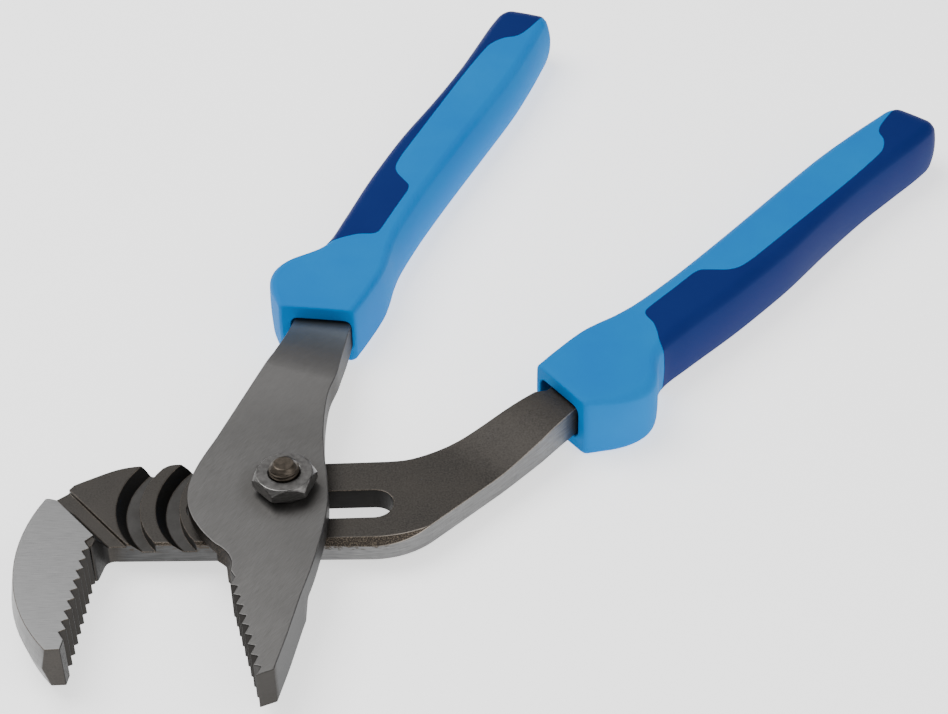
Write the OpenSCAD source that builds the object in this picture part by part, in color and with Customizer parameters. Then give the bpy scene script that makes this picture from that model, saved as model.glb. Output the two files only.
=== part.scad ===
// Tongue and groove pliers, 250 mm size.
// X runs along the pivot slot towards the handles, Z is up towards the nut,
// and the origin is on the pivot axis at the plane that the pliers rest on.

/* [Levers] */
// Thickness of each lever where the two lie on each other
lever_t = 5; // [4.5:0.5:6]
// Thickness of the groove lever's shank at its grip
groove_shank_t = 7; // [6:0.5:8]
// Thickness of the tongue lever's shank at its grip
tongue_shank_t = 6.5; // [6:0.5:8]
// Space between the two levers' sliding faces
face_play = 0.1; // [0.05:0.05:0.3]

/* [Grooves] */
// Distance between two groove positions along the slot
groove_pitch = 8; // [8:0.25:8.5]
// Number of groove positions
groove_count = 5; // [3:2:5]
// Depth of a groove
groove_depth = 2.2; // [1.5:0.1:2.6]
// Width of the slot
slot_w = 8; // [7.9:0.1:8.2]

/* [Jaws] */
// Number of teeth on each jaw
tooth_count = 10; // [6:1:10]
// Distance between two teeth
tooth_pitch = 2.72; // [2.4:0.01:2.75]
// Depth of a tooth
tooth_depth = 1.3; // [0.8:0.1:1.8]

/* [Pivot] */
// Diameter of the bolt's round bearing in the tongue lever
pin_d = 7; // [6.6:0.1:8]
// Diameter of the bolt's thread
thread_d = 5.6; // [5:0.1:6.5]
// Diameter of the bolt's head
head_d = 15; // [13:0.5:17]
// Thickness of the bolt's head
head_t = 3; // [2.5:0.25:4]
// Nut size across the flats
nut_flats = 11.5; // [10:0.5:13]
// Height of the nut's hexagon
nut_h = 2.9; // [2.5:0.1:4]
// Height of the round washer face below the hexagon
washer_face_h = 1.2; // [0.6:0.1:1.6]

/* [Grips] */
// Thickness of a grip
grip_t = 14.6; // [13:0.2:16]
// How far the steel tang reaches into a grip
tang_l = 96; // [70:1:105]
// Width of the tang
tang_w = 8.6; // [7:0.2:9]

/* [Hidden] */
$fn = 72;

far = 200;                                   // longer than any cut needs
lap = 0.5;                                   // how far joined solids reach into each other
groove_z = head_t + face_play;               // underside of the groove lever
mid_z = groove_z + lever_t;                  // top of the groove lever's neck
tongue_z = mid_z + face_play;                // underside of the tongue lever's plate
plate_top = tongue_z + lever_t - face_play;  // top of both jaws
nut_z = plate_top + face_play;               // underside of the nut
grip_z = grip_t / 2;                         // middle plane of both grips
tang_t = 5.2;                                // thickness of both tangs
tang_taper = 0.012;                          // narrowing of a tang's sides per millimetre

// Grip frames: place of the collar's front, direction of the handle, side that faces out
groove_grip_at = [56.7, 27.9];
groove_grip_angle = 48;
tongue_grip_at = [3.4, 56.7];
tongue_grip_angle = 67.5;

travel = groove_pitch * (groove_count - 1) / 2;  // of the pivot, each way from the middle groove
slot_to_handles = travel + 5.4;                  // from the middle groove's axis to the slot's end
slot_to_jaws = travel + 4.3;                     // the same on the jaws' side
pin_fit = 0.05;      // running clearance round the pin and beside the bolt's neck
cavity_fit = 0.05;   // clearance between a tang and its cavity

// ---------- helpers ----------

// One point of a Catmull-Rom span from b to c, with a and d as neighbours
function span_point(a, b, c, d, u) =
    0.5 * ((2 * b) + (c - a) * u + (2 * a - 5 * b + 4 * c - d) * u * u
        + (3 * b - a - 3 * c + d) * u * u * u);

// Smooth curve through every point of p, with n steps for each span
function curve(p, n = 6) = [
    for (i = [0 : len(p) - 2], k = [0 : n - (i == len(p) - 2 ? 0 : 1)])
        span_point(p[max(i - 1, 0)], p[i], p[i + 1], p[min(i + 2, len(p) - 1)], k / n)
];

// Points of an arc about a centre
function arc(c, r, a0, a1, n = 12) =
    [for (k = [0 : n]) c + r * [cos(a0 + (a1 - a0) * k / n), sin(a0 + (a1 - a0) * k / n)]];

// Row of saw teeth from point p along direction a, cut to the given side
function teeth(p, a, side) = [
    for (k = [0 : tooth_count - 1], j = [0 : 1])
        p + (k + (j == 0 ? 0.3 : 1)) * tooth_pitch * [cos(a), sin(a)]
            + (j == 0 ? tooth_depth : 0) * side * [-sin(a), cos(a)]
];

// Level change from z0 at a to z1 at b that starts and ends flat
function ease(a, b, z0, z1, n = 10) =
    [for (k = [0 : n]) [a + (b - a) * k / n, z0 + (z1 - z0) * (1 - cos(180 * k / n)) / 2]];

function reversed(p) = [for (i = [len(p) - 1 : -1 : 0]) p[i]];

module layer(z, h, outline) {
    translate([0, 0, z]) linear_extrude(h) polygon(outline);
}

// Straight slot-shaped bar of width w and overall half length e
module stadium(w, e, z, h) {
    translate([0, 0, z]) linear_extrude(h) {
        square([2 * e - w, w], center = true);
        for (s = [-1, 1]) translate([s * (e - w / 2), 0]) circle(d = w);
    }
}

// Side profile of a shank, drawn along the handle direction and as wide as any shank
module side_profile(at, angle, profile) {
    translate([at[0], at[1], 0]) rotate([0, 0, angle]) rotate([90, 0, 0])
        translate([0, 0, -far / 2]) linear_extrude(far) polygon(profile);
}

// ---------- groove lever ----------

jaw_center = [-13.3, -18.2];
jaw_r = 38.4;
jaw_swell = 1;
jaw_z = groove_z + 0.2;      // the jaw's underside lies a little above the neck's
fixed_tooth_angle = -94.9;
fixed_tooth_start = [-37.2, -13.3];

jaw_inner_edge = [[-45.5, -1.9], [-37, -12.4]];

function fixed_jaw_outline() = concat(
    jaw_inner_edge,
    teeth(fixed_tooth_start, fixed_tooth_angle, -1),
    [[-39.9, -42.9]],
    arc(jaw_center, jaw_r + jaw_swell + lap, 218.4, 161, 14),
    curve([[-50.1, -4.4], [-49.3, -2.4], [-47.6, -1.3], [-45.5, -1.9]], 4)
);

neck_edge_start = [-33.2, -9.9];
bend_center = [17.5, 5.8];   // of the front edge where the neck turns into the shank
bend_r = 17;
bend_end_angle = -46;
shank_rise_from = -27;       // the shank rises between these places along its grip's axis
shank_rise_to = -3;

// Whole outline in plan: neck with its scalloped back edge, shank and tang
function groove_outline() = let (a = groove_grip_angle, d = [cos(a), sin(a)], n = [-sin(a), cos(a)])
    concat(
        [[-40, -9.5], [-39.2, -15.2], [-37.2, -15.2]],
        curve([[-36.95, -14.8], [-36.5, -12.9], [-35.9, -10.7], [-34.7, -9.9], neck_edge_start], 4),
        arc(bend_center, bend_r, -90, bend_end_angle),
        [[43.5, 7.3], [52, 15.9]],
        [for (t = [0, tang_l]) groove_grip_at + t * d - (tang_w / 2 - t * tang_taper) * n],
        [for (t = [tang_l, 0]) groove_grip_at + t * d + (tang_w / 2 - t * tang_taper) * n],
        curve([[51, 30.4], [43.5, 24.6], [39, 21.2], [34, 17.7], [28.4, 14.6], [24, 13], [20, 12.6]], 5),
        [[-17.6, 12.3]],
        curve([[-19.4, 12.4], [-21.2, 13.4], [-24.6, 13.4], [-26.6, 12.3], [-28.6, 12.4], [-31, 13.3],
            [-35.6, 12.4], [-40.6, 9.9], [-44, 8]], 4),
        [[-45.2, 6.2], [-47.4, 4.4], [-46.6, -4]]
    );

// Jaw block whose curved back swells by jaw_swell at half its height
module fixed_jaw() {
    intersection() {
        layer(jaw_z, plate_top - jaw_z, fixed_jaw_outline());
        translate([jaw_center[0], jaw_center[1], 0]) rotate_extrude($fn = 180) polygon([
            [0, groove_z], [jaw_r, groove_z], [jaw_r + jaw_swell, (groove_z + plate_top) / 2],
            [jaw_r, plate_top + lap], [0, plate_top + lap]
        ]);
    }
}

relief_depth = 0.8;  // of the channel between the jaw block and the first land

// Slope that carries the jaw block down onto the neck
module jaw_skirt() {
    foot = 3;                        // how far the slope runs out from the jaw's edge
    rise = plate_top - mid_z - 0.3;  // a little below the jaw's top
    under_jaw = -3;                  // the skirt reaches this far below the jaw block
    edge = jaw_inner_edge[1] - jaw_inner_edge[0];
    intersection() {
        layer(groove_z, plate_top - groove_z, groove_outline());
        translate([jaw_inner_edge[0][0], jaw_inner_edge[0][1], mid_z]) rotate([0, 0, atan2(edge[1], edge[0])])
            rotate([90, 0, 90]) linear_extrude(norm(edge) + 6)
            polygon([[under_jaw, -2], [foot, -2], [foot, -relief_depth], [-0.3, rise], [under_jaw, rise]]);
    }
}

module groove_lever_blank() {
    fixed_jaw();
    jaw_skirt();
    intersection() {
        layer(0, far, groove_outline());
        side_profile(groove_grip_at, groove_grip_angle, concat(
            [[-far, groove_z]],
            ease(shank_rise_from, shank_rise_to, groove_z, grip_z - groove_shank_t / 2),
            [[0, grip_z - groove_shank_t / 2], [8, grip_z - tang_t / 2], [far, grip_z - tang_t / 2],
                [far, grip_z + tang_t / 2], [8, grip_z + tang_t / 2], [0, grip_z + groove_shank_t / 2]],
            ease(shank_rise_to, shank_rise_from, grip_z + groove_shank_t / 2, mid_z),
            [[-far, mid_z]]
        ));
    }
}

// One groove: the sickle between two arcs that bow towards the jaw, with a sloping flank on the jaw's side
module groove_cut(x) {
    floor_r = 17.5;     // of the edge where the flank meets the groove's floor
    floor_at = [0.7, 1.5];
    land_r = 18.3;      // of the steep wall on the handles' side
    land_at = [4.4, 1.5];
    slope = 0.86;       // widening of the flank per millimetre of height
    cut_h = groove_depth + lap;
    translate([x, 0, mid_z - groove_depth]) difference() {
        translate(floor_at) cylinder(r1 = floor_r, r2 = floor_r + slope * cut_h, h = cut_h);
        translate([land_at[0], land_at[1], -1]) cylinder(r = land_r, h = far);
        translate([0, -far / 2, -1]) cube([far, far, far]);
    }
}

// Channel between the jaw block and the first land
module relief_cut() {
    difference() {
        layer(mid_z - relief_depth, far, [[-46.4, 8.4], [-29.6, -12.4], [-36, -20], [-52, 0]]);
        layer(mid_z - 2, far, fixed_jaw_outline());
        jaw_skirt();
    }
}

// Worn bevel along the neck's front edge; it runs out round the bend
module front_bevel() {
    bevel_in = 1.6;      // width in plan
    bevel_down = 1.3;    // height
    run_out_r = 25.6;    // wider than the bend, so that the bevel narrows along it
    run = bend_center[0] - neck_edge_start[0];
    // section that the bevel takes away, with the edge at the origin and the metal towards +X
    section = [
        [-1, -bevel_down - bevel_down / bevel_in], [bevel_in + 1, bevel_down / bevel_in],
        [bevel_in + 1, 3], [-1, 3]
    ];
    translate([neck_edge_start[0], bend_center[1] - bend_r, mid_z])
        rotate([90, 0, 90]) linear_extrude(run + 0.01) polygon(section);
    translate([bend_center[0], bend_center[1] - bend_r + run_out_r, mid_z]) intersection() {
        rotate_extrude($fn = 180) translate([run_out_r, 0]) mirror([1, 0]) polygon(section);
        layer(-far / 2, far, [[0, 0], [0, -far], [far, -far], [far, -far * tan(52)]]);
    }
}

module groove_lever() {
    color("dimgray") difference() {
        groove_lever_blank();
        translate([(slot_to_handles - slot_to_jaws) / 2, 0, 0])
            stadium(slot_w, (slot_to_handles + slot_to_jaws) / 2, 0, mid_z + 1);
        for (k = [0 : groove_count - 1])
            intersection() {
                groove_cut((k - (groove_count - 1) / 2) * groove_pitch);
                layer(0, far, [[-36, -20], [8, -20], [8, 20], [-36, 20]]);
            }
        relief_cut();
        front_bevel();
    }
}

// ---------- tongue lever ----------

tongue_tooth_angle = -75;
tongue_tooth_start = [-10.1, -24.5];
tongue_in_r = 14.3;
tongue_out_r = 15.8;
neck_front = -11.2;      // front edge of the groove lever's neck
rim_r = 18;              // the plate's rim is thinner outside this radius
rim_z = tongue_z + 2.2;
jaw_lift = 1.1;          // the jaw's underside lies this far above the groove lever's

// Whole outline in plan: jaw, plate and shank with its tang
function tongue_outline() = let (a = tongue_grip_angle, d = [cos(a), sin(a)], n = [-sin(a), cos(a)])
    concat(
        curve([[-9.6, -23.2], [-9.5, -21.1], [-10.2, -18.9], [-11.6, -17], [-13.6, -15.1], [-16.2, -11.6],
            [-18.5, -7.1], [-19.6, -2.6], [-19.5, 2.4], [-18, 8.4], [-15, 16]], 4),
        [[-4.8, 44], [-1, 58.2]],
        [for (t = [6, tang_l]) tongue_grip_at + t * d + (tang_w / 2 - t * tang_taper) * n],
        [for (t = [tang_l, 6]) tongue_grip_at + t * d - (tang_w / 2 - t * tang_taper) * n],
        curve([[11.8, 57], [10.7, 50], [10, 44], [9.2, 36], [7.7, 30], [7.1, 24], [7, 17], [7.4, 10], [8.2, 3],
            [8.6, -4], [8.2, -10], [7.4, -15.6], [6.2, -22.4], [4.2, -31], [2.3, -40.4], [0.2, -49.4]], 4),
        reversed(teeth(tongue_tooth_start, tongue_tooth_angle, 1))
    );

// Lower half of the jaw; its two top lines keep it clear of the neck when closed and when open
function lower_jaw_outline() = let (apex = [-0.7, neck_front - 1.65]) [
    apex, [-11.2, apex[1] - 10.5 * tan(24)], [-30, -30], [-20, -60],
    [0.3, -60], [1.1, -49.8], [2.9, -40], [4.7, -29], [4.8, -23], [5.6, apex[1] - 6.3 * tan(30)]
];

module tongue_rib() {
    intersection() {
        translate([0, 0, mid_z - groove_depth + 0.3]) difference() {
            cylinder(r = tongue_out_r, h = groove_depth + lap);
            translate([0, 0, -1]) cylinder(r = tongue_in_r, h = far);
        }
        layer(0, far, [[-30, neck_front - 0.4], [-7, neck_front - 0.4], [-7, -30], [-30, -30]]);
    }
}

module tongue_lever() {
    color("silver") difference() {
        union() {
            intersection() {
                layer(0, far, tongue_outline());
                side_profile(tongue_grip_at, tongue_grip_angle, concat(
                    [[-far, tongue_z]],
                    ease(-20, -2, tongue_z, grip_z - tongue_shank_t / 2),
                    [[2, grip_z - tongue_shank_t / 2], [10, grip_z - tang_t / 2], [far, grip_z - tang_t / 2],
                        [far, grip_z + tang_t / 2], [10, grip_z + tang_t / 2], [2, grip_z + tongue_shank_t / 2]],
                    ease(-2, -20, grip_z + tongue_shank_t / 2, plate_top),
                    [[-far, plate_top]]
                ));
            }
            intersection() {
                layer(groove_z + jaw_lift, tongue_z + lap - groove_z - jaw_lift, tongue_outline());
                layer(0, far, lower_jaw_outline());
            }
            tongue_rib();
        }
        // bearing for the bolt
        translate([0, 0, -1]) cylinder(d = pin_d + 2 * pin_fit, h = far);
        // thinner rim on the side towards the grooves
        difference() {
            layer(mid_z - groove_depth, rim_z - mid_z + groove_depth, [[-30, -16], [-13, -16], [-13, 14], [-30, 14]]);
            cylinder(r = rim_r, h = far);
        }
    }
}

// ---------- pivot ----------

module pivot_bolt() {
    neck_w = slot_w - 2 * pin_fit;
    neck_e = slot_to_jaws - travel - 0.15;
    tip_z = nut_z + washer_face_h + nut_h + 2.3;
    tip_chamfer = 0.8;
    color("saddlebrown") rotate_extrude() polygon([
        [0, 0], [head_d / 2 - 0.8, 0], [head_d / 2, 0.8], [head_d / 2, head_t],
        [pin_d / 2, head_t], [pin_d / 2, nut_z], [thread_d / 2, nut_z],
        [thread_d / 2, tip_z - tip_chamfer], [thread_d / 2 - tip_chamfer, tip_z], [0, tip_z]
    ]);
    color("saddlebrown") stadium(neck_w, neck_e, head_t - lap, mid_z - head_t + lap);
}

module pivot_nut() {
    corner_d = nut_flats / cos(30);
    top = washer_face_h + nut_h;
    bore_d = thread_d + 0.06;
    countersink = 0.5;
    color("lightgray") translate([0, 0, nut_z]) rotate([0, 0, 10]) difference() {
        union() {
            cylinder(d = nut_flats - 1.6, h = washer_face_h + lap);
            intersection() {
                translate([0, 0, washer_face_h]) cylinder(d = corner_d, h = nut_h, $fn = 6);
                rotate_extrude() polygon([
                    [0, 0], [corner_d / 2 - 0.5, washer_face_h], [corner_d / 2, washer_face_h + 0.3],
                    [corner_d / 2, top - 1.3], [nut_flats / 2 - 0.1, top], [0, top]
                ]);
            }
        }
        translate([0, 0, -1]) cylinder(d = bore_d, h = top + 2);
        translate([0, 0, top - countersink])
            cylinder(d1 = bore_d, d2 = bore_d + 2 * (countersink + lap), h = countersink + lap);
    }
}

// ---------- grips, drawn along +X with the outer side towards +Y ----------

function grip_outline() = concat(
    curve([[135.6, -5], [137.4, -0.6], [136, 3.6], [131.6, 6.6], [124, 7.8], [108, 7.8], [90, 8.6], [71, 9.8],
        [50, 9.9], [30, 9], [22.4, 9.6], [18, 12], [11.6, 15], [5.4, 13.2], [0.4, 9]], 4),
    curve([[-1.4, 7.4], [-2, 6.2], [-1.6, 5]], 3),
    curve([[1.2, -7], [2.1, -8.6], [3.8, -9]], 3),
    curve([[9, -9.2], [17, -9.1], [25, -7.8], [33, -7.1], [46, -7], [60, -7.2], [83, -8], [98, -8.7],
        [114, -8.6], [125, -7.8], [131, -6.9], [135.6, -5]], 4)
);

// Cross-section of the handle: flat top and bottom with sloping shoulders
module grip_section() {
    polygon([
        [-5.6, grip_t / 2], [-8.8, 2.4], [-8.8, -2.4], [-5.6, -grip_t / 2],
        [8.2, -grip_t / 2], [10.2, -3], [10.2, 3], [8.2, grip_t / 2]
    ]);
}

// Cross-section of the collar and its finger guard
module collar_section() {
    polygon([
        [-8.2, grip_t / 2], [-9.4, 5.4], [-9.4, -5.4], [-8.2, -grip_t / 2],
        [12.6, -grip_t / 2], [15.4, -4.4], [15.4, 4.4], [12.6, grip_t / 2]
    ]);
}

module grip_form() {
    collar_end = 24;
    intersection() {
        translate([0, 0, -grip_t / 2]) linear_extrude(grip_t) polygon(grip_outline());
        union() {
            translate([-20, 0, 0]) rotate([90, 0, 90]) linear_extrude(collar_end + 20) collar_section();
            translate([collar_end - lap, 0, 0]) rotate([90, 0, 90]) linear_extrude(far) grip_section();
        }
        // bevelled tail
        rotate([90, 0, 0]) translate([0, 0, -far / 2]) linear_extrude(far) polygon([
            [-20, -grip_t / 2], [134.6, -grip_t / 2], [137.4, -4], [137.4, 4], [134.6, grip_t / 2],
            [-20, grip_t / 2]
        ]);
    }
}

// Region of the darker overmould: outer side, front patch and tail cap
function inlay_region() = concat(
    [[23.6, 30], [24.8, 7.2], [28.2, 3.2], [30.2, -0.6], [31.4, -2]],
    [[49, -2], [51.4, -0.4], [54.6, 3.2], [59.6, 5], [100, 4.6], [115, 3.8], [120, 1.6], [124.4, -2.6]],
    [[132, -4], [140, -4.4], [150, 30]]
);

module tang_cavity() {
    translate([0, 0, -tang_t / 2 - cavity_fit]) linear_extrude(tang_t + 2 * cavity_fit) polygon([
        [0, tang_w / 2 + cavity_fit], [tang_l + 0.5, tang_w / 2 - tang_l * tang_taper + cavity_fit],
        [tang_l + 0.5, -tang_w / 2 + tang_l * tang_taper - cavity_fit], [0, -tang_w / 2 - cavity_fit]
    ]);
}

// Opening in the collar that the steel shank enters by
module collar_opening(t, s_in) {
    translate([-10, -8.1, -t / 2 - 0.15]) cube([s_in + 10, 13.4, t + 0.3]);
}

module grip_shell(shank_t, s_in) {
    color("deepskyblue") difference() {
        grip_form();
        translate([0, 0, -far / 2]) linear_extrude(far) polygon(inlay_region());
        tang_cavity();
        collar_opening(shank_t, s_in);
    }
}

module grip_inlay() {
    color("midnightblue") difference() {
        intersection() {
            grip_form();
            translate([0, 0, -far / 2]) linear_extrude(far) polygon(inlay_region());
        }
        tang_cavity();
    }
}

module at_groove_grip() {
    translate([groove_grip_at[0], groove_grip_at[1], grip_z]) rotate([0, 0, groove_grip_angle])
        mirror([0, 1, 0]) children();
}

module at_tongue_grip() {
    translate([tongue_grip_at[0], tongue_grip_at[1], grip_z]) rotate([0, 0, tongue_grip_angle]) children();
}

module groove_grip_shell() { at_groove_grip() grip_shell(groove_shank_t, 8); }
module groove_grip_inlay() { at_groove_grip() grip_inlay(); }
module tongue_grip_shell() { at_tongue_grip() grip_shell(tongue_shank_t, 10); }
module tongue_grip_inlay() { at_tongue_grip() grip_inlay(); }

groove_lever();
groove_grip_shell();
groove_grip_inlay();
pivot_bolt();
pivot_nut();
tongue_lever();
tongue_grip_shell();
tongue_grip_inlay();
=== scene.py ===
"""Tongue and groove pliers: the looks of the part, built round its CAD nodes, in metres in its frame."""
import math

import bmesh
import bpy
from mathutils import Matrix, Vector


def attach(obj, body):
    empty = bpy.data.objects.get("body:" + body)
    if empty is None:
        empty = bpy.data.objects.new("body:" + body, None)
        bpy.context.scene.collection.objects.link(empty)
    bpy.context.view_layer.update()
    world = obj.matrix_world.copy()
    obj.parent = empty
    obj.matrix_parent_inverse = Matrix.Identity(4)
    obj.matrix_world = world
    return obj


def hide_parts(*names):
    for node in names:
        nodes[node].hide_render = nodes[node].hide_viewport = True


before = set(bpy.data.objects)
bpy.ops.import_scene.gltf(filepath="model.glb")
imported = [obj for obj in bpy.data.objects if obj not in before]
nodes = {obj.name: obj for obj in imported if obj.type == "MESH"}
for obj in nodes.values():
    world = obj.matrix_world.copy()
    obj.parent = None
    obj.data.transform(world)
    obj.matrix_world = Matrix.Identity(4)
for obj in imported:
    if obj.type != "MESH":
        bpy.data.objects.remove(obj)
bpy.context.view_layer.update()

MM = 0.001
GRIP_HALF = 7.3            # half the thickness of a grip
GRIP_LENGTH = 137.2
TOOTH_LINE = (-10.1, -24.5)  # first tooth of the tongue lever
TOOTH_ANGLE = -75            # direction of its row of teeth
TOOTH_BAND = 1.6             # how far in from the tooth line the sides are painted with shade, for the gaps between the teeth


# ---------- small helpers ----------

def spline(points, x):
    """Smooth value at x through the (position, value) pairs in points."""
    if x <= points[0][0]:
        return points[0][1]
    if x >= points[-1][0]:
        return points[-1][1]
    i = max(k for k in range(len(points) - 1) if points[k][0] <= x)
    (x0, y0), (x1, y1) = points[i], points[i + 1]
    before = points[i - 1] if i > 0 else points[i]
    after = points[i + 2] if i + 2 < len(points) else points[i + 1]
    slope0 = (y1 - before[1]) / (x1 - before[0])
    slope1 = (after[1] - y0) / (after[0] - x0)
    u = (x - x0) / (x1 - x0)
    width = x1 - x0
    return ((2 * u ** 3 - 3 * u ** 2 + 1) * y0 + (u ** 3 - 2 * u ** 2 + u) * width * slope0
            + (3 * u ** 2 - 2 * u ** 3) * y1 + (u ** 3 - u ** 2) * width * slope1)


def curve_through(points, steps):
    """Points of a Catmull-Rom curve through the given plan points."""
    out = []
    for i in range(len(points) - 1):
        a = points[max(i - 1, 0)]
        b = points[i]
        c = points[i + 1]
        d = points[min(i + 2, len(points) - 1)]
        for k in range(steps):
            u = k / steps
            out.append(tuple(
                0.5 * (2 * b[n] + (c[n] - a[n]) * u + (2 * a[n] - 5 * b[n] + 4 * c[n] - d[n]) * u * u
                       + (3 * b[n] - a[n] - 3 * c[n] + d[n]) * u ** 3)
                for n in (0, 1)))
    out.append(tuple(points[-1]))
    return out


def new_object(name, verts, faces):
    mesh = bpy.data.meshes.new(name)
    mesh.from_pydata(verts, [], faces)
    mesh.validate()
    bm = bmesh.new()
    bm.from_mesh(mesh)
    bmesh.ops.recalc_face_normals(bm, faces=bm.faces)
    bm.to_mesh(mesh)
    bm.free()
    obj = bpy.data.objects.new(name, mesh)
    bpy.context.scene.collection.objects.link(obj)
    return obj


def prism(name, outline, low, high):
    """Closed prism over a plan outline, from low to high."""
    n = len(outline)
    verts = [(x * MM, y * MM, low * MM) for x, y in outline]
    verts += [(x * MM, y * MM, high * MM) for x, y in outline]
    faces = [tuple(reversed(range(n))), tuple(range(n, 2 * n))]
    faces += [(i, (i + 1) % n, n + (i + 1) % n, n + i) for i in range(n)]
    return new_object(name, verts, faces)


def rounded_box(name, low, high, radius):
    """Box whose four edges along X are rounded."""
    outline = []
    for cy, cz, start in ((high[1] - radius, high[2] - radius, 0), (low[1] + radius, high[2] - radius, 90),
                          (low[1] + radius, low[2] + radius, 180), (high[1] - radius, low[2] + radius, 270)):
        for k in range(6):
            angle = math.radians(start + 18 * k)
            outline.append((cy + radius * math.cos(angle), cz + radius * math.sin(angle)))
    n = len(outline)
    verts = [(x * MM, y * MM, z * MM) for x in (low[0], high[0]) for y, z in outline]
    faces = [tuple(range(n)), tuple(range(2 * n - 1, n - 1, -1))]
    faces += [(i, n + i, n + (i + 1) % n, (i + 1) % n) for i in range(n)]
    return new_object(name, verts, faces)


def boolean(obj, other, operation):
    """Applies a boolean with another object, which is then removed."""
    mod = obj.modifiers.new("cut", "BOOLEAN")
    mod.operation = operation
    mod.solver = "EXACT"
    mod.object = other
    bpy.context.view_layer.update()
    result = bpy.data.meshes.new_from_object(obj.evaluated_get(bpy.context.evaluated_depsgraph_get()))
    obj.modifiers.clear()
    obj.data = result
    bpy.data.objects.remove(other)


def soften(obj, width, angle=40, segments=3, clamp=True):
    """Rounds the sharp edges and keeps the flats flat; clamp narrows the rounding beside short edges."""
    bevel = obj.modifiers.new("round", "BEVEL")
    bevel.width = width * MM
    bevel.segments = segments
    bevel.limit_method = "ANGLE"
    bevel.angle_limit = math.radians(angle)
    bevel.use_clamp_overlap = clamp
    bevel.harden_normals = True
    for face in obj.data.polygons:
        face.use_smooth = True
    normals = obj.modifiers.new("normals", "WEIGHTED_NORMAL")
    normals.keep_sharp = True


def soften_cad(obj, width, angle=30, segments=3):
    """Joins a CAD mesh's flat facets, then rounds its edges at full width even where some edges are short."""
    weld = obj.modifiers.new("weld", "WELD")
    weld.merge_threshold = 0.05 * MM
    flat = obj.modifiers.new("flat", "DECIMATE")
    flat.decimate_type = "DISSOLVE"
    flat.angle_limit = math.radians(0.6)
    soften(obj, width, angle, segments, clamp=False)


# ---------- materials ----------

class Nodes:
    """Short way to write a node material."""

    def __init__(self, name):
        self.material = bpy.data.materials.new(name)
        self.material.use_nodes = True
        self.tree = self.material.node_tree
        self.tree.nodes.clear()
        self.output = self.tree.nodes.new("ShaderNodeOutputMaterial")
        self.shader = self.tree.nodes.new("ShaderNodeBsdfPrincipled")
        self.tree.links.new(self.shader.outputs[0], self.output.inputs[0])
        self.coords = self.tree.nodes.new("ShaderNodeTexCoord")

    def put(self, socket, value):
        if isinstance(value, bpy.types.NodeSocket):
            self.tree.links.new(value, socket)
        elif value is not None:
            socket.default_value = value

    def math(self, operation, a, b=None):
        node = self.tree.nodes.new("ShaderNodeMath")
        node.operation = operation
        self.put(node.inputs[0], a)
        self.put(node.inputs[1], b)
        return node.outputs[0]

    def times(self, a, b):
        return self.math("MULTIPLY", a, b)

    def inverse(self, mask):
        """1 where the mask is 0, and 0 where it is 1."""
        return self.math("SUBTRACT", 1.0, mask)

    def mix(self, factor, a, b):
        node = self.tree.nodes.new("ShaderNodeMix")
        node.data_type = "RGBA"
        self.put(node.inputs["Factor"], factor)
        self.put(node.inputs[6], a)
        self.put(node.inputs[7], b)
        return node.outputs[2]

    def blend(self, factor, a, b):
        node = self.tree.nodes.new("ShaderNodeMix")
        node.data_type = "FLOAT"
        self.put(node.inputs["Factor"], factor)
        self.put(node.inputs[2], a)
        self.put(node.inputs[3], b)
        return node.outputs[0]

    def split(self, vector):
        node = self.tree.nodes.new("ShaderNodeSeparateXYZ")
        self.tree.links.new(vector, node.inputs[0])
        return node.outputs

    def place(self, scale, turn=0.0):
        """Object coordinates, turned about Z and scaled along each axis."""
        rotate = self.tree.nodes.new("ShaderNodeMapping")
        rotate.inputs["Rotation"].default_value = (0, 0, math.radians(turn))
        self.tree.links.new(self.coords.outputs["Object"], rotate.inputs["Vector"])
        node = self.tree.nodes.new("ShaderNodeMapping")
        node.inputs["Scale"].default_value = scale
        self.tree.links.new(rotate.outputs[0], node.inputs["Vector"])
        return node.outputs[0]

    def noise(self, scale, turn=0.0, detail=3.0, rough=0.55):
        node = self.tree.nodes.new("ShaderNodeTexNoise")
        node.inputs["Scale"].default_value = 1.0
        node.inputs["Detail"].default_value = detail
        node.inputs["Roughness"].default_value = rough
        self.tree.links.new(self.place(scale, turn), node.inputs["Vector"])
        return node.outputs["Fac"]

    def step(self, value, low, high):
        """0 below low, 1 above high, smooth between."""
        node = self.tree.nodes.new("ShaderNodeMapRange")
        node.interpolation_type = "SMOOTHSTEP"
        node.inputs["From Min"].default_value = low
        node.inputs["From Max"].default_value = high
        self.put(node.inputs["Value"], value)
        return node.outputs[0]

    def vary(self, value, low, high):
        """Spreads a noise value between low and high."""
        node = self.tree.nodes.new("ShaderNodeMapRange")
        node.inputs["From Min"].default_value = 0.3
        node.inputs["From Max"].default_value = 0.7
        node.inputs["To Min"].default_value = low
        node.inputs["To Max"].default_value = high
        self.put(node.inputs["Value"], value)
        return node.outputs[0]

    def bump(self, height, strength, distance):
        node = self.tree.nodes.new("ShaderNodeBump")
        node.inputs["Strength"].default_value = strength
        node.inputs["Distance"].default_value = distance * MM
        self.put(node.inputs["Height"], height)
        self.tree.links.new(node.outputs[0], self.shader.inputs["Normal"])

    def finish(self, color, metallic, roughness):
        self.put(self.shader.inputs["Base Color"], color)
        self.put(self.shader.inputs["Metallic"], metallic)
        self.put(self.shader.inputs["Roughness"], roughness)
        return self.material


def grey(value, warm=0.0):
    return (value * (1 + warm), value, value * (1 - warm), 1.0)


GROUND_DARK = grey(0.10, 0.03)
GROUND_PALE = grey(0.155, 0.02)


def scratches(m, turn, scale=4600, length=240):
    """Fine parallel grind lines in plan, at an angle."""
    return m.noise((length, scale, length), turn=turn, detail=4)


def specks(m):
    """Fine mottling, for grime and worn edges."""
    return m.noise((4200, 4200, 4200), detail=2, rough=0.7)


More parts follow.
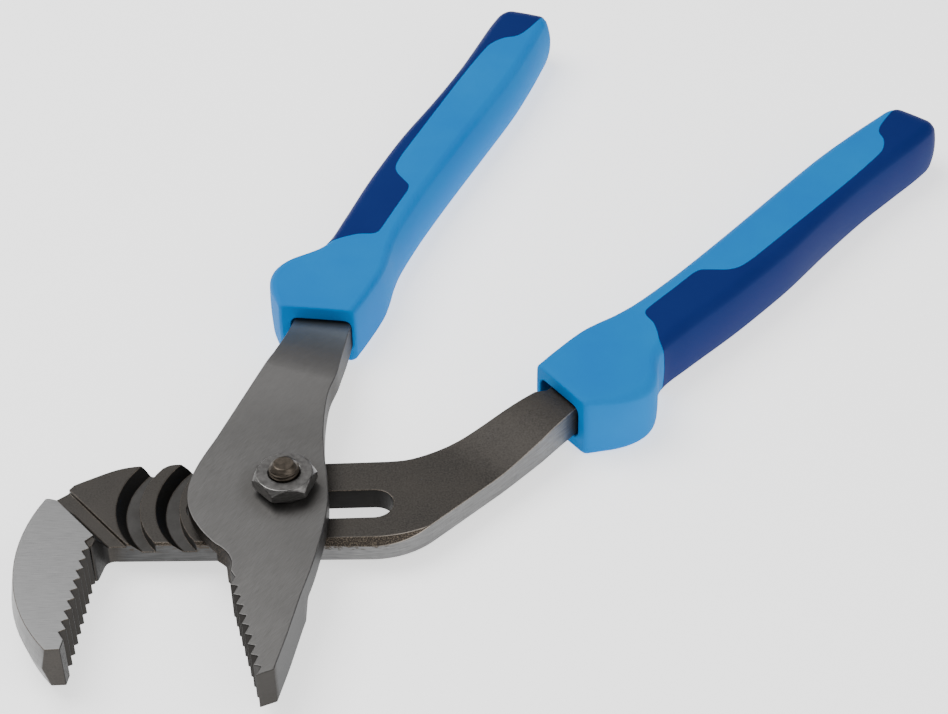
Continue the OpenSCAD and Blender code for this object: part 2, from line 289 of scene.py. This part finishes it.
def from_line(m, x, y, place, angle):
    """Distance in metres to the right of a plan line through place at the given angle."""
    across = m.times(m.math("SUBTRACT", x, place[0] * MM), math.sin(math.radians(angle)))
    along = m.times(m.math("SUBTRACT", y, place[1] * MM), math.cos(math.radians(angle)))
    return m.math("SUBTRACT", across, along)


def ground_steel():
    """Tongue lever: ground top with crossed grind lines, a painted sheen towards the grip end and a painted
    bluish reflection of the grip beside it, darker round the nut partly as dirt and partly as painted shade,
    painted shade on the sides facing -x, on the plate's rim and in the gaps between the teeth, and a rough
    jaw tip.
    """
    m = Nodes("ground_steel")
    x, y, z = m.split(m.coords.outputs["Object"])
    nx, ny, nz = m.split(m.coords.outputs["Normal"])
    low_y = m.times(y, -1)
    lines = m.blend(0.45, scratches(m, -50, 6200, 300), scratches(m, -68, 7000, 500))
    cloud = m.noise((70, 70, 70), detail=2)
    side_lines = m.noise((500, 500, 5200), detail=3)
    top = m.step(nz, 0.6, 0.9)
    # painted reflection and shade: the top is tinted dark bluish next to the grip, standing for the blue grip
    # mirrored in it
    grip_reflection = m.step(m.math("ADD", y, m.vary(cloud, -3 * MM, 3 * MM)), 42 * MM, 58 * MM)
    tone = m.mix(m.vary(lines, 0, 1), GROUND_DARK, GROUND_PALE)
    tone = m.mix(m.vary(cloud, 0, 0.4), tone, grey(0.095, 0.03))
    # painted sheen: the top is made lighter further along towards the grip
    upper_sheen = m.step(y, 12 * MM, 36 * MM)
    tone = m.mix(m.times(upper_sheen, 0.5), tone, grey(0.20, 0.02))
    tone = m.mix(m.times(grip_reflection, 0.65), tone, (0.115, 0.155, 0.19, 1))
    side = m.mix(m.vary(side_lines, 0, 1), grey(0.075), grey(0.13))
    shank = m.step(y, -14 * MM, -8 * MM)
    side = m.mix(shank, side, m.mix(m.vary(side_lines, 0, 1), grey(0.05, 0.05), grey(0.11, 0.03)))
    # painted shade: the sides that face -x are darkened
    left = m.step(m.times(nx, -1), 0.1, 0.4)
    side = m.mix(m.times(left, 0.6), side, grey(0.05, 0.05))
    tip = m.step(low_y, 47.5 * MM, 49.2 * MM)
    below_plate = m.step(low_y, 23.2 * MM, 23.8 * MM)
    # painted shade with dirt specks: the side walls of the plate's left rim are made near black, speckled tan
    rim_shade_and_grime = m.mix(m.step(specks(m), 0.5, 0.64), grey(0.012, 0.1), (0.07, 0.055, 0.042, 1))
    plate_rim_shade = m.times(m.inverse(below_plate), m.step(m.times(x, -1), 4 * MM, 7 * MM))
    side = m.mix(plate_rim_shade, side, rim_shade_and_grime)
    # darker round the pivot, just outside the nut: partly dirt, partly painted shade under the nut
    from_pivot = m.math("SQRT", m.math("ADD", m.times(x, x), m.times(y, y)))
    nut_shade_reach = m.math("ADD", from_pivot, m.vary(cloud, -1 * MM, 1 * MM))
    nut_grime_and_shade = m.inverse(m.step(nut_shade_reach, 6.5 * MM, 11 * MM))
    tone = m.mix(m.times(nut_grime_and_shade, 0.35), tone, grey(0.05, 0.1))
    # painted shade: the sides in a band behind the tooth line, the gaps between the teeth, are made near
    # black; the jaw tip's end gets a darker rough tone of its own
    root = from_line(m, x, y, TOOTH_LINE, TOOTH_ANGLE)
    tooth_gap_shade = m.times(m.step(root, -TOOTH_BAND * MM, -(TOOTH_BAND - 0.3) * MM), below_plate)
    tooth_gap_shade = m.times(tooth_gap_shade, m.inverse(tip))
    color = m.mix(top, side, tone)
    rough_tip_and_gap_shade = m.times(m.math("MAXIMUM", tip, tooth_gap_shade), m.inverse(top))
    tip_and_gap_shade_tone = m.mix(m.times(tooth_gap_shade, 0.8), grey(0.045, 0.06), grey(0.014, 0.08))
    color = m.mix(rough_tip_and_gap_shade, color, tip_and_gap_shade_tone)
    m.bump(m.blend(top, side_lines, lines), 0.3, 0.03)
    m.shader.inputs["Specular Tint"].default_value = (0.55, 0.55, 0.55, 1)
    rough = m.blend(top, m.vary(side_lines, 0.34, 0.5), m.vary(lines, 0.38, 0.5))
    return m.finish(color, 0.9, rough)


def forged_steel():
    """Groove lever: dark blasted forging with worn edges, ground jaw top, jaw back and front wall, and
    painted shade on the groove flanks, the groove floors and the slot's walls.
    """
    m = Nodes("forged_steel")
    x, y, z = m.split(m.coords.outputs["Object"])
    nx, ny, nz = m.split(m.coords.outputs["Normal"])
    grain = m.noise((2600, 2600, 2600), detail=2, rough=0.7)
    cloud = m.noise((140, 140, 140), detail=3)
    lines = scratches(m, 4, 5200, 300)
    wall_lines = m.noise((260, 260, 5200), detail=3)
    up = m.step(nz, 0.6, 0.9)
    side = m.inverse(m.step(m.math("ABSOLUTE", nz), 0.2, 0.5))
    head = m.inverse(m.step(x, -18 * MM, 4 * MM))
    skin = m.mix(m.vary(grain, 0, 1), grey(0.022, 0.12), grey(0.062, 0.10))
    skin = m.mix(m.vary(cloud, 0, 0.4), skin, grey(0.058, 0.14))
    skin = m.mix(m.times(head, 0.3), skin, grey(0.026, 0.10))
    # painted shade: the floors of the grooves are darkened, over their milled lines
    bottom = m.inverse(m.step(z, 6.2 * MM, 6.5 * MM))
    groove_floor_shade = m.times(up, bottom)
    milled_floor_shade_tone = m.mix(m.vary(wall_lines, 0, 1), grey(0.03), grey(0.06))
    skin = m.mix(m.times(groove_floor_shade, 0.5), skin, milled_floor_shade_tone)
    # painted shade: the groove walls that face +x are made near black
    flank_shade = m.times(m.step(nx, 0.4, 0.55), m.inverse(m.step(x, -10 * MM, -8 * MM)))
    skin = m.mix(flank_shade, skin, grey(0.008, 0.08))
    ground = m.mix(m.vary(lines, 0, 1), grey(0.165), grey(0.225))
    jaw_top = m.times(up, m.step(z, 12.9 * MM, 13.0 * MM))
    front = m.times(side, m.step(m.times(ny, -1), 0.35, 0.6))
    body_wall = m.step(x, -35 * MM, -31 * MM)
    front_wall = m.times(front, body_wall)
    back = m.times(m.step(m.times(nx, -1), 0.2, 0.4), m.step(m.times(x, -1), 42 * MM, 44 * MM))
    wall = m.mix(m.vary(wall_lines, 0, 1), grey(0.10), grey(0.18))
    wall_left = m.mix(m.vary(wall_lines, 0, 1), grey(0.04), grey(0.08))
    wall = m.mix(m.step(x, -22 * MM, 12 * MM), wall_left, wall)
    spots = m.step(m.noise((700, 700, 1500), detail=4), 0.52, 0.62)
    scale_spots = m.times(spots, m.step(z, 5.2 * MM, 6.6 * MM))
    scale_spots = m.times(scale_spots, m.inverse(m.step(x, 16 * MM, 26 * MM)))
    wall = m.mix(m.times(scale_spots, front), wall, grey(0.04, 0.2))
    color = m.mix(front_wall, skin, wall)
    color = m.mix(back, color, m.mix(m.vary(wall_lines, 0, 1), grey(0.10), grey(0.17)))
    color = m.mix(jaw_top, color, ground)
    # painted shade: the walls inside the slot are made near black
    within_slot_width = m.inverse(m.step(m.math("ABSOLUTE", y), 4.2 * MM, 4.4 * MM))
    within_slot_length = m.inverse(m.step(m.math("ABSOLUTE", x), 22 * MM, 22.5 * MM))
    slot_wall_shade = m.times(within_slot_width, within_slot_length)
    color = m.mix(m.times(slot_wall_shade, side), color, grey(0.010, 0.06))
    facing = m.times(ny, -1)
    rounded = m.times(m.step(nz, 0.2, 0.35), m.inverse(m.step(nz, 0.88, 0.97)))
    rounded = m.times(rounded, m.inverse(flank_shade))
    slope = m.times(m.step(facing, 0.15, 0.3), m.inverse(m.step(nz, 0.80, 0.84)))
    slope = m.times(m.times(slope, m.step(nz, 0.5, 0.7)), m.inverse(flank_shade))
    fine = specks(m)
    worn = m.mix(m.step(fine, 0.40, 0.62), grey(0.05, 0.2), (0.20, 0.165, 0.13, 1))
    color = m.mix(m.times(rounded, 0.75), color, worn)
    rubbed = m.times(m.times(rounded, m.step(facing, 0.1, 0.3)), m.step(x, 16 * MM, 24 * MM))
    color = m.mix(rubbed, color, (0.36, 0.32, 0.28, 1))
    burr = m.mix(m.step(fine, 0.46, 0.62), grey(0.028, 0.2), (0.13, 0.105, 0.08, 1))
    color = m.mix(slope, color, burr)
    bright = m.math("MAXIMUM", jaw_top, m.math("MAXIMUM", front_wall, back))
    height = m.blend(bright, grain, m.blend(jaw_top, wall_lines, lines))
    m.bump(height, 0.5, 0.05)
    rough = m.blend(bright, m.vary(grain, 0.42, 0.6), m.vary(lines, 0.36, 0.5))
    return m.finish(color, m.blend(bright, 0.75, 0.9), rough)


def turned_steel(name, low, high, warm, rough):
    """Nut and bolt: plain metal with light wear and fine marks."""
    m = Nodes(name)
    marks = m.noise((900, 900, 3800), detail=4)
    cloud = m.noise((320, 320, 320), detail=2)
    color = m.mix(m.vary(marks, 0, 1), grey(low, warm), grey(high, warm))
    color = m.mix(m.vary(cloud, 0, 0.5), color, grey(low * 0.7, warm * 1.3))
    m.bump(marks, 0.25, 0.03)
    return m.finish(color, 0.9, m.vary(cloud, rough - 0.06, rough + 0.08))


def grip_plastic(name, color, worn, rough):
    """Soft satin plastic with a faint cloudiness and a fine moulded grain."""
    m = Nodes(name)
    cloud = m.noise((45, 45, 45), detail=3)
    grain = m.noise((1500, 1500, 1500), detail=2)
    mixed = m.mix(m.vary(cloud, 0, 1), color, worn)
    m.bump(grain, 0.06, 0.04)
    m.shader.inputs["Specular IOR Level"].default_value = 0.04
    return m.finish(mixed, 0.0, m.vary(cloud, rough - 0.04, rough + 0.05))


def floor_paint():
    m = Nodes("floor_paint")
    cloud = m.noise((3, 3, 3), detail=2)
    color = m.mix(m.vary(cloud, 0, 1), (0.86, 0.86, 0.86, 1), (0.88, 0.88, 0.88, 1))
    m.put(m.shader.inputs["Emission Color"], color)
    m.shader.inputs["Emission Strength"].default_value = 1.5
    return m.finish(color, 0.0, 0.9)


STEEL_GROUND = ground_steel()
STEEL_FORGED = forged_steel()
NUT_STEEL = turned_steel("nut_steel", 0.10, 0.22, 0.03, 0.32)
BOLT_STEEL = turned_steel("bolt_steel", 0.035, 0.10, 0.2, 0.38)
LIGHT_PLASTIC = grip_plastic("light_plastic", (0.0, 0.165, 0.50, 1), (0.0, 0.195, 0.53, 1), 0.55)
DARK_PLASTIC = grip_plastic("dark_plastic", (0.006, 0.018, 0.12, 1), (0.008, 0.022, 0.13, 1), 0.5)


# ---------- grips, in their own frame: s along the handle, t outwards ----------

# outline of the outer and inner side, bulge of each at half height, and half thickness, all as (s, value)
OUTER = ((0, 7.4), (3, 10), (5.5, 12.2), (8.5, 14), (11.5, 14.6), (15, 13.4), (18.5, 10.8), (22, 8.6),
         (26, 7.6), (35, 7.7), (50, 8.4), (63, 8.5), (72, 8.3), (88, 7.2), (104, 6.6), (118, 6.8), (127, 7),
         (138, 6.6))
INNER = ((0, -8.8), (8, -9), (17, -8.9), (22, -8.1), (27, -6.8), (33, -5.7), (45, -5.1), (55, -5.1),
         (68, -5.4), (85, -6), (105, -6.6), (120, -6.2), (130, -5.6), (138, -5.2))
BULGE_IN = ((0, 0.2), (18, 0.4), (34, 1.6), (80, 2.2), (110, 2.2), (138, 1.6))
BULGE_OUT = ((0, 0.2), (18, 0.5), (34, 1.0), (138, 1.2))
HALF = ((0, 7.3), (16, 7.3), (25, 7.0), (34, 7.2), (60, 7.3), (138, 7.2))
CORNER_STEPS = 6
EDGE_STEPS = 7
FRONT_SKEW = 0.235  # slant of the collar's front, along the handle per millimetre of width
SKEW_REACH = 16     # where that slant has run out
TAIL_MIDDLE = 0.9   # the tail rounds in towards this place across the handle
TAIL_LEAST = 0.25   # part of the section that is left at the very end
CROWN = 0.12        # how much lower a grip's top is at its sides than in the middle


def grip_section(s, inset, grow):
    """Points round the grip at s: a rounded box with bulging sides and a crowned top."""
    t_in = spline(INNER, s) + inset - grow
    t_out = spline(OUTER, s) - inset + grow
    half = spline(HALF, s) - inset + grow
    radius_out = min(2.2, 0.9 + s * 0.12)
    radius_in = 1.5
    mid = (t_in + t_out) / 2
    width = (t_out - t_in) / 2
    corners = ((t_out - radius_out, half - radius_out, 0, radius_out),
               (t_in + radius_in, half - radius_in, 90, radius_in),
               (t_in + radius_in, radius_in - half, 180, radius_in),
               (t_out - radius_out, radius_out - half, 270, radius_out))
    ring = []
    for index, (t, z, start, radius) in enumerate(corners):
        for k in range(CORNER_STEPS + 1):
            angle = math.radians(start + 90 * k / CORNER_STEPS)
            ring.append((t + radius * math.cos(angle), z + radius * math.sin(angle)))
        next_t, next_z, next_start, next_radius = corners[(index + 1) % 4]
        first = ring[-1]
        last = (next_t + next_radius * math.cos(math.radians(next_start)),
                next_z + next_radius * math.sin(math.radians(next_start)))
        for k in range(1, EDGE_STEPS):
            u = k / EDGE_STEPS
            ring.append((first[0] + (last[0] - first[0]) * u, first[1] + (last[1] - first[1]) * u))
    out = []
    for t, z in ring:
        side = (t - mid) / width
        rise = 1 - min(1, abs(z) / half) ** 2
        bulge = spline(BULGE_OUT, s) if side > 0 else -spline(BULGE_IN, s)
        t += bulge * rise * side * side
        z -= CROWN * side * side * z / half
        out.append((t, z))
    return out


def grip_body(name, grow=0.0):
    """The whole outer form of a grip as one closed mesh."""
    front_round = 0.7
    tail_round = 6.5
    stations = [(front_round * (1 - math.cos(math.radians(a))), front_round * (1 - math.sin(math.radians(a))))
                for a in (0, 30, 60, 90)]
    count = 104
    for k in range(1, count + 1):
        stations.append((front_round + (GRIP_LENGTH - tail_round - front_round) * k / count, 0))
    rings = []
    for s, inset in stations:
        skew = FRONT_SKEW * (1 - min(1, s / SKEW_REACH)) ** 1.5
        rings.append([(s - t * skew, t, z) for t, z in grip_section(s, inset, grow)])
    start = GRIP_LENGTH - tail_round
    for k in range(1, 13):
        u = math.sin(math.radians(90 * k / 12))
        shrink = max(0.0, 1 - u ** 2.6) ** (1 / 2.6)
        s = start + (tail_round + grow) * u
        ring = grip_section(s, 0, grow)
        size = TAIL_LEAST + (1 - TAIL_LEAST) * shrink
        rings.append([(s, TAIL_MIDDLE + (t - TAIL_MIDDLE) * size, z * size) for t, z in ring])
    n = len(rings[0])
    verts = [(s * MM, t * MM, z * MM) for ring in rings for s, t, z in ring]
    faces = []
    for r in range(len(rings) - 1):
        for i in range(n):
            j = (i + 1) % n
            faces.append((r * n + i, r * n + j, (r + 1) * n + j, (r + 1) * n + i))
    faces.append(tuple(range(n)))
    faces.append(tuple(range((len(rings) - 1) * n, len(rings) * n)))
    return new_object(name, verts, faces)


# edge of the inlay, from the front patch to the tail
INLAY_FRONT = [(23.8, 14), (24.2, 9), (25.2, 6.4), (27.2, 4.2), (29, 1.8), (30, -0.8), (31, -1.9),
               (33, -2.2), (41, -2.1)]
INLAY_STEP = [(48.4, -2.1), (50.6, -1.5), (52.4, 0.6), (54.6, 3.2), (57.4, 4.6), (62, 5)]
INLAY_STRIP = [(62, 5), (80, 4.8), (100, 4.5), (113, 3.9), (117, 3.2), (120.4, 1.2), (122.4, -1.4),
               (125.4, -2.8), (131.5, -4)]
BEYOND_TAIL = [(141, -4.6), (146, 16)]


def inlay_outline():
    outline = curve_through(INLAY_FRONT, 5) + curve_through(INLAY_STEP, 5) + curve_through(INLAY_STRIP, 5)[1:]
    return outline + BEYOND_TAIL


def make_grip(prefix, body, at, angle, mirrored, opening):
    """Shell with its collar opening, and the darker inlay a hair proud of it."""
    shell = grip_body(prefix + "_grip")
    cutter = rounded_box("cutter", (-12, opening[0], -opening[2]), (13, opening[1], opening[2]), 1.6)
    boolean(shell, cutter, "DIFFERENCE")
    inlay = grip_body(prefix + "_grip_overmould", grow=0.06)
    boolean(inlay, prism("region", inlay_outline(), -12, 12), "INTERSECT")
    place = (Matrix.Translation((at[0] * MM, at[1] * MM, GRIP_HALF * MM))
             @ Matrix.Rotation(math.radians(angle), 4, "Z")
             @ Matrix.Diagonal((1, -1 if mirrored else 1, 1, 1)))
    for piece, material, slot, node in ((shell, LIGHT_PLASTIC, "light_grip", "_grip_shell"),
                                        (inlay, DARK_PLASTIC, "dark_grip", "_grip_inlay")):
        piece.data.transform(place)
        if mirrored:
            piece.data.flip_normals()
        piece.data.materials.clear()
        piece.data.materials.append(material)
        soften(piece, 0.35 if piece is shell else 0.12, 50)
        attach(piece, body)
        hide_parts(prefix + node)


make_grip("groove", "groove_side", (56.7, 27.9), 48, True, (-7.4, 5.2, 4.1))
make_grip("tongue", "tongue_side", (3.4, 56.7), 67.5, False, (-8.0, 5.2, 4.0))


# ---------- steel ----------

def dress(node, material, width, angle=30):
    obj = nodes[node]
    obj.data.materials.clear()
    obj.data.materials.append(material)
    soften_cad(obj, width, angle)


dress("groove_lever", STEEL_FORGED, 0.2)
dress("tongue_lever", STEEL_GROUND, 0.25)
dress("pivot_nut", NUT_STEEL, 0.15)
dress("pivot_bolt", BOLT_STEEL, 0.15)


def bolt_thread():
    """Helical ridge on the bolt's free end."""
    pitch = 0.8
    root, crest = 2.72, 3.04
    low, high = 16.9, 18.7
    steps = 40       # for each turn
    fade_steps = 8   # over which the ridge rises at each end
    count = int((high - low) / pitch * steps)
    profile = ((root, -0.32), (crest, -0.08), (crest, 0.08), (root, 0.32))
    verts = []
    for k in range(count + 1):
        angle = 2 * math.pi * k / steps
        fade = min(1, k / fade_steps, (count - k) / fade_steps)
        for r, dz in profile:
            radius = root + (r - root) * fade
            verts.append((radius * math.cos(angle) * MM, radius * math.sin(angle) * MM,
                          (low + pitch * k / steps + dz) * MM))
    faces = [(0, 1, 2, 3), tuple(4 * count + i for i in (3, 2, 1, 0))]
    for k in range(count):
        for i in range(4):
            j = (i + 1) % 4
            faces.append((4 * k + i, 4 * k + j, 4 * k + 4 + j, 4 * k + 4 + i))
    thread = new_object("bolt_thread", verts, faces)
    thread.data.materials.append(BOLT_STEEL)
    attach(thread, "pivot")


bolt_thread()


# ---------- floor, light, camera ----------

def make_floor():
    size = 3.0
    corners = [(-size, -size, 0), (size, -size, 0), (size, size, 0), (-size, size, 0)]
    floor = new_object("floor", corners, [(0, 1, 2, 3)])
    floor.data.materials.append(floor_paint())


def area_light(name, place, target, size, power, tint=(1, 1, 1)):
    data = bpy.data.lights.new(name, "AREA")
    data.shape = "RECTANGLE"
    data.size, data.size_y = size
    data.energy = power
    data.color = tint
    light = bpy.data.objects.new(name, data)
    light.location = place
    light.rotation_euler = (Vector(target) - Vector(place)).to_track_quat("-Z", "Y").to_euler()
    bpy.context.scene.collection.objects.link(light)


def make_world():
    world = bpy.data.worlds.new("studio")
    world.use_nodes = True
    world.node_tree.nodes["Background"].inputs["Color"].default_value = (1, 1, 1, 1)
    world.node_tree.nodes["Background"].inputs["Strength"].default_value = 0.4
    bpy.context.scene.world = world


def make_camera():
    """Looks down at 39 degrees from in front, with a slight roll."""
    tilt = math.radians(39)
    ahead = Vector((0, math.cos(tilt), -math.sin(tilt)))
    above = Vector((0, math.sin(tilt), math.cos(tilt)))
    right = Vector((1, 0, 0))
    roll = math.radians(-1.6)
    axis_x = right * math.cos(roll) + above * math.sin(roll)
    axis_y = above * math.cos(roll) - right * math.sin(roll)
    turn = Matrix((axis_x, axis_y, -ahead)).transposed().to_4x4()
    data = bpy.data.cameras.new("camera")
    data.lens = 85.44
    data.sensor_width = 36
    data.clip_start = 0.01
    camera = bpy.data.objects.new("camera", data)
    place = (0.0384, -0.3342, 0.3159)
    camera.matrix_world = Matrix.Translation(place) @ turn
    bpy.context.scene.collection.objects.link(camera)
    bpy.context.scene.camera = camera


make_floor()
make_world()
area_light("key", (-0.35, 0.25, 0.8), (0.04, 0.03, 0), (0.7, 0.7), 9)
area_light("fill", (0.6, -0.5, 0.6), (0.04, 0.03, 0), (0.8, 0.8), 4)
make_camera()
